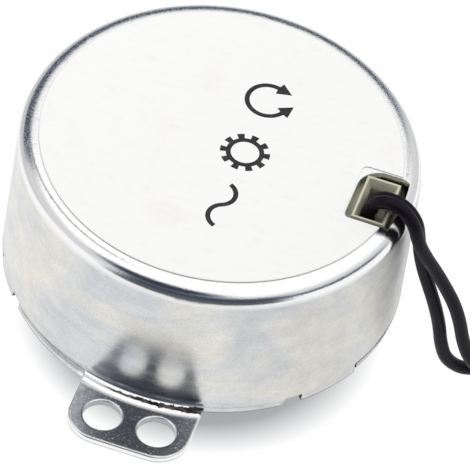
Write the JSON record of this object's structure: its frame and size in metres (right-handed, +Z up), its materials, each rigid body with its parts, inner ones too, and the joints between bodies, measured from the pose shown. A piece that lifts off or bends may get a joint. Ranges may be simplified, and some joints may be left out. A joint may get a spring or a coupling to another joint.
{
  "type": "synchronous gear motor",
  "caption": "Flat round synchronous gear motor: a plated steel can with drilled mounting ears, a white label face, black leads and a slow D-cut output shaft.",
  "frame": {"origin": "on the shaft axis, in the plane of the underside of the mounting ears", "axes": "+Z up the shaft axis to the closed, labelled end; the output shaft points to -Z; the mounting ears lie along Y; the terminal opening is on the +X side"},
  "size_m": [0.0722, 0.0816, 0.0347],
  "materials": {
    "plated_steel": "satin",
    "label_film": "matte",
    "bright_steel": "satin",
    "bush_brass": "satin",
    "bobbin_plastic": "satin",
    "copper_wire": "gloss",
    "coil_tape": "gloss",
    "lead_insulation": "satin",
    "tinned_wire": "satin",
    "ferrite": "matte",
    "gear_plastic": "satin"
  },
  "bodies": {
    "housing": {"motor_can": "plated_steel", "rating_label": "label_film", "front_cover": "plated_steel", "shaft_bush": "bush_brass", "gear_plate": "plated_steel", "spacer_posts": "bright_steel", "coil_bobbin": "bobbin_plastic", "coil_winding": "copper_wire", "coil_tape": "coil_tape", "terminal_pins": "bush_brass", "lead_front": "lead_insulation", "lead_rear": "lead_insulation", "lead_ends": "tinned_wire", "centre_pin": "bright_steel", "rotor_washer": "bright_steel", "rotor_clip": "bright_steel", "first_axle": "bright_steel", "second_axle": "bright_steel", "third_axle": "bright_steel", "shaft_washer": "bright_steel"},
    "rotor": {"rotor_magnet": "ferrite", "rotor_hub": "gear_plastic"},
    "first_stage": {"first_gear": "gear_plastic"},
    "second_stage": {"second_gear": "gear_plastic"},
    "third_stage": {"third_gear": "gear_plastic"},
    "output": {"output_gear": "gear_plastic", "output_shaft": "bright_steel"}
  },
  "joints": [
    {"name": "output_spin", "type": "hinge", "parent": "housing", "child": "output", "pos_m": [0, 0, 0], "axis": [0, 0, 1], "continuous": true},
    {"name": "third_spin", "type": "hinge", "parent": "housing", "child": "third_stage", "pos_m": [0.00311, -0.01159, 0.006], "axis": [0, 0, 1], "continuous": true},
    {"name": "second_spin", "type": "hinge", "parent": "housing", "child": "second_stage", "pos_m": [-0.00804, -0.00804, 0.006], "axis": [0, 0, 1], "continuous": true},
    {"name": "first_spin", "type": "hinge", "parent": "housing", "child": "first_stage", "pos_m": [-0.01159, 0.00311, 0.006], "axis": [0, 0, 1], "continuous": true},
    {"name": "rotor_spin", "type": "hinge", "parent": "housing", "child": "rotor", "pos_m": [0, 0, 0.016], "axis": [0, 0, 1], "continuous": true}
  ],
  "couplings": [
    {"joint": "third_spin", "follows": "output_spin", "ratio": -3},
    {"joint": "second_spin", "follows": "output_spin", "ratio": 10},
    {"joint": "first_spin", "follows": "output_spin", "ratio": -33.333},
    {"joint": "rotor_spin", "follows": "output_spin", "ratio": 100}
  ]
}
